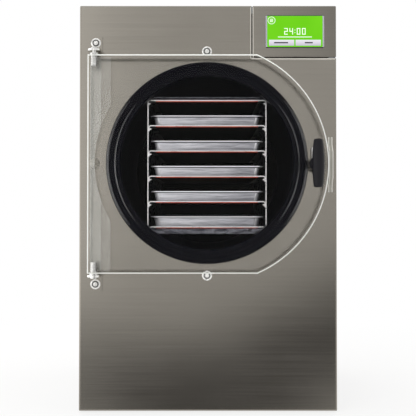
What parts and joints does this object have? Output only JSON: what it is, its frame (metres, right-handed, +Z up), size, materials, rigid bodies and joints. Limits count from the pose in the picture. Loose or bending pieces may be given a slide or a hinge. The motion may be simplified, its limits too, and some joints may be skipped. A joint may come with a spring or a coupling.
{
  "type": "freeze dryer",
  "caption": "Upright freeze dryer: steel cabinet round a vacuum drum with a heated tray rack, behind a thick clear hinged door with a T-handle latch.",
  "frame": {"origin": "on the floor at the centre of the overall box's footprint", "axes": "+Z up, the door faces -Y, +X to the right as seen from the front"},
  "size_m": [0.606, 0.7066, 0.812],
  "materials": {
    "brushed_steel": "satin",
    "frame_steel": "satin",
    "black_rubber": "matte",
    "drum_steel": "satin",
    "foam": "matte",
    "copper": "satin",
    "rack_steel": "satin",
    "red_silicone": "matte",
    "foil": "satin",
    "tray_steel": "satin",
    "black_enamel": "gloss",
    "condenser_aluminium": "satin",
    "black_plastic": "satin",
    "valve_brass": "satin",
    "lever_steel": "gloss",
    "bezel_plastic": "gloss",
    "screen_glass": "gloss",
    "circuit_board": "satin",
    "plated_steel": "satin",
    "clear_acrylic": "gloss"
  },
  "bodies": {
    "cabinet": {"front_panel": "brushed_steel", "control_fascia": "brushed_steel", "cabinet_wrap": "brushed_steel", "back_panel": "brushed_steel", "chassis_frame": "frame_steel", "base_pan": "frame_steel", "feet": "black_rubber", "vacuum_drum": "drum_steel", "door_gasket": "black_rubber", "foam_jacket": "foam", "evaporator_coil": "copper", "drum_cradles": "frame_steel", "rack_side_left": "rack_steel", "rack_side_right": "rack_steel", "heater_mats": "red_silicone", "foil_pad_top": "foil", "foil_pad_bottom": "foil", "shelf_1": "rack_steel", "shelf_2": "rack_steel", "shelf_3": "rack_steel", "shelf_4": "rack_steel", "shelf_5": "rack_steel", "shelf_6": "rack_steel", "tray_1": "tray_steel", "tray_2": "tray_steel", "tray_3": "tray_steel", "tray_4": "tray_steel", "tray_5": "tray_steel", "compressor": "black_enamel", "compressor_grommets": "black_rubber", "condenser": "condenser_aluminium", "fan_shroud": "black_enamel", "fan_motor": "black_enamel", "fan_guard": "black_enamel", "filter_drier": "copper", "refrigerant_lines": "copper", "vacuum_port": "drum_steel", "drain_line": "drum_steel", "drain_valve": "valve_brass", "display_bezel": "bezel_plastic", "display_module": "screen_glass", "control_board": "circuit_board", "power_supply": "plated_steel", "power_inlet": "black_plastic", "pump_outlet": "black_plastic", "switch_frame": "black_plastic", "hinge_bracket_top": "plated_steel", "hinge_bracket_bottom": "plated_steel", "hinge_pins": "plated_steel", "strike_plate": "plated_steel", "panel_screws": "plated_steel"},
    "door": {"door_pane": "clear_acrylic", "pivot_bushes": "plated_steel", "latch_hub": "black_plastic"},
    "latch": {"latch_handle": "black_plastic", "latch_spindle": "plated_steel", "latch_finger": "plated_steel"},
    "fan": {"fan_rotor": "black_plastic"},
    "drain_handle": {"drain_lever": "lever_steel"},
    "rocker": {"switch_rocker": "black_plastic"}
  },
  "joints": [
    {"name": "door_swing", "type": "hinge", "parent": "cabinet", "child": "door", "pos_m": [-0.224, -0.2975, 0.493], "axis": [0, 0, -1], "range_deg": [0, 180]},
    {"name": "latch_turn", "type": "hinge", "parent": "door", "child": "latch", "pos_m": [0.2125, -0.31, 0.493], "axis": [0, 1, 0], "range_deg": [0, 90]},
    {"name": "fan_spin", "type": "hinge", "parent": "cabinet", "child": "fan", "pos_m": [-0.04, 0.3033, 0.141], "axis": [0, 1, 0], "continuous": true},
    {"name": "drain_turn", "type": "hinge", "parent": "cabinet", "child": "drain_handle", "pos_m": [-0.281, 0.2153, 0.27131], "axis": [0, 0, -1], "range_deg": [0, 90]},
    {"name": "power_rock", "type": "hinge", "parent": "cabinet", "child": "rocker", "pos_m": [0.16, 0.3463, 0.25], "axis": [1, 0, 0], "range_deg": [0, 20]}
  ]
}
